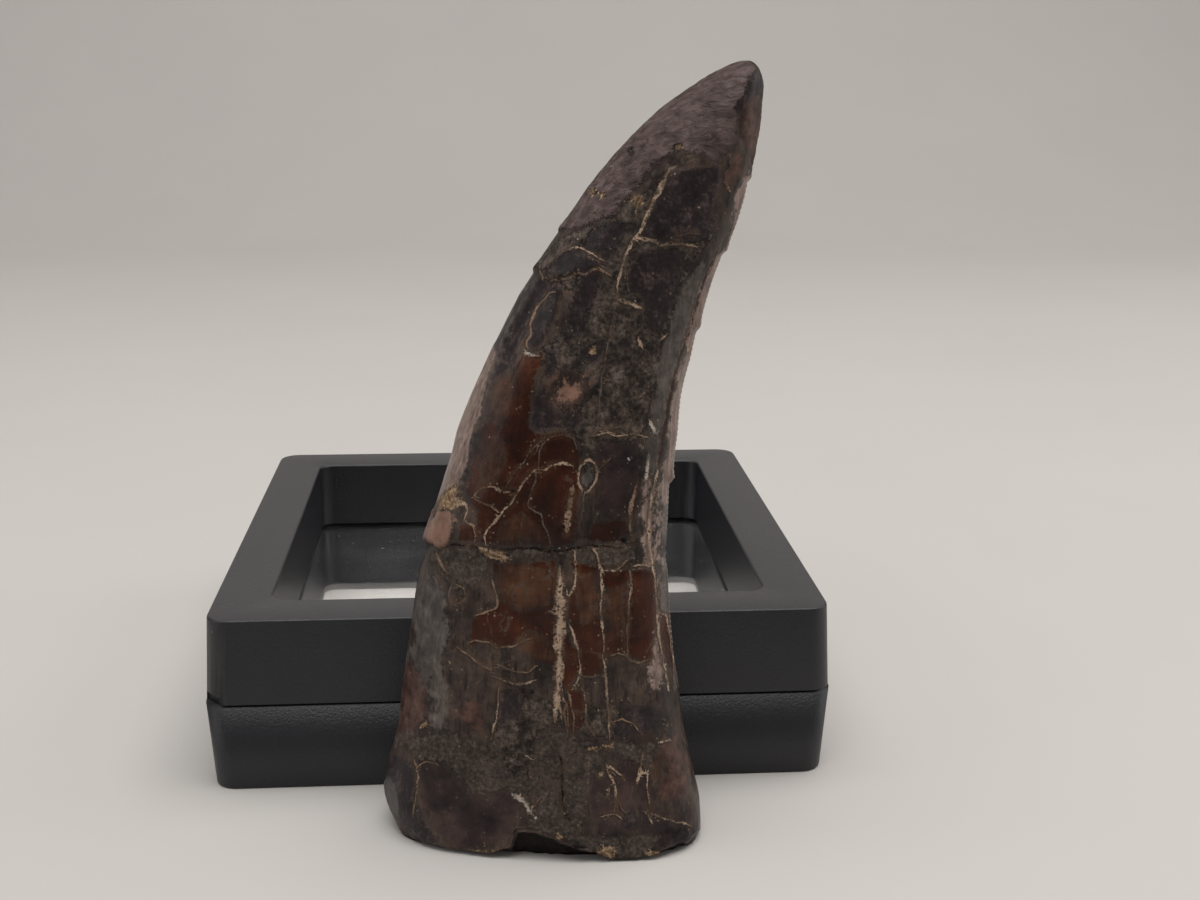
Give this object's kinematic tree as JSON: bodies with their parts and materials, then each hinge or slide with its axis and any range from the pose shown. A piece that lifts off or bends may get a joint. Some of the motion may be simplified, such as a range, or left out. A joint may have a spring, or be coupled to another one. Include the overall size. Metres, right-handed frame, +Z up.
{
  "type": "fossil dinosaur tooth",
  "caption": "Curved, serrated theropod tooth fossil standing on its broken root and leaning on a square black floating-frame display box with clear film windows.",
  "frame": {"origin": "on the surface it stands on, under the middle of the whole object's footprint", "axes": "+Z up; +Y from the tooth towards the box, square to the box's front side; +X to the right seen from the tooth's side"},
  "size_m": [0.07, 0.0877, 0.0792],
  "materials": {
    "fossil": "satin fossil enamel, dark brown to black, over matte grey root matrix",
    "frame_plastic": "matte black moulded plastic with a fine grain",
    "film": "clear stretched film with a little dust"
  },
  "bodies": {
    "root": {"tooth": "fossil", "lower_frame": "frame_plastic", "upper_frame": "frame_plastic", "lower_film": "film", "upper_film": "film"}
  },
  "joints": []
}
